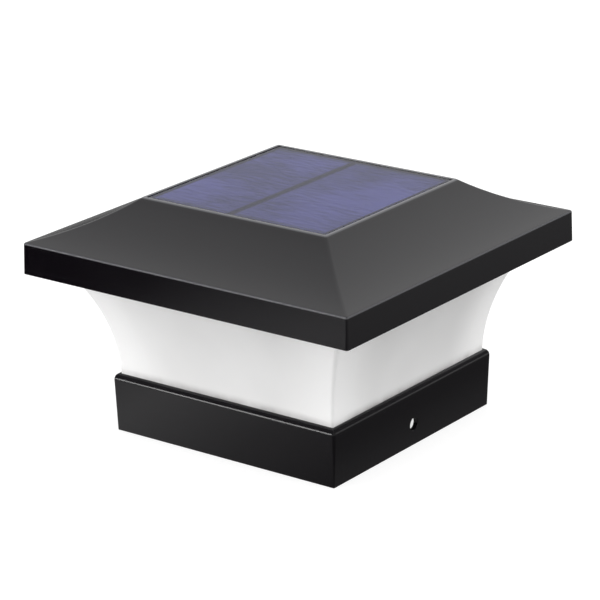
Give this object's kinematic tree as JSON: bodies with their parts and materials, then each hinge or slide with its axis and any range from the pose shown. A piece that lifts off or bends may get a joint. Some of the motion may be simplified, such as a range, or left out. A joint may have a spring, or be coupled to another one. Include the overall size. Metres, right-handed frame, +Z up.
{
  "type": "deck post cap light",
  "caption": "Square solar lamp cap with a hollow-sloped roof, a flared frosted diffuser and a black socket base that slips over a deck post.",
  "frame": {"origin": "centre of the bottom rim of the base, on the plane that the rim stands on", "axes": "+Z up through the roof; +X towards one of the two faces that have a screw hole; +Y along the seam between the two strips of cells"},
  "size_m": [0.155, 0.155, 0.0961],
  "materials": {
    "black_plastic": "semi-gloss moulded",
    "frosted_plastic": "frosted, lets light through",
    "white_plastic": "satin moulded",
    "foam": "closed-cell foam",
    "screw_steel": "zinc plated",
    "panel_backing": "solder-masked board",
    "solar_cell": "blue-violet silicon",
    "tinned_ribbon": "tinned copper",
    "clear_resin": "clear cast resin",
    "white_board": "white solder mask",
    "lamp_body": "phosphor window in a white body",
    "green_board": "green solder mask",
    "board_components": "moulded black",
    "plated_metal": "nickel plated",
    "knob_plastic": "moulded",
    "battery_wrap": "shrunk film",
    "red_wire": "insulated lead",
    "black_wire": "insulated lead"
  },
  "bodies": {
    "root": {"base_skirt": "black_plastic", "base_screws": "screw_steel", "diffuser_lens": "frosted_plastic", "lens_gasket": "foam", "lens_screws": "screw_steel", "roof_shell": "black_plastic", "panel_seal": "foam", "panel_board": "panel_backing", "solar_cell_left": "solar_cell", "solar_cell_right": "solar_cell", "cell_ribbons": "tinned_ribbon", "panel_cover": "clear_resin", "lamp_tray": "white_plastic", "tray_screws": "screw_steel", "lamp_board": "white_board", "lamps": "lamp_body", "control_board": "green_board", "board_parts": "board_components", "board_screws": "screw_steel", "switch_body": "plated_metal", "battery_cell": "battery_wrap", "spring_contact": "plated_metal", "button_contact": "plated_metal", "door_seal": "foam", "battery_door": "white_plastic", "door_screws": "screw_steel", "red_leads": "red_wire", "black_leads": "black_wire"},
    "switch_knob": {"switch_knob": "knob_plastic"}
  },
  "joints": [
    {"name": "switch_slide", "type": "slide", "parent": "root", "child": "switch_knob", "axis": [1, 0, 0], "range_m": [0, 0.003]}
  ]
}
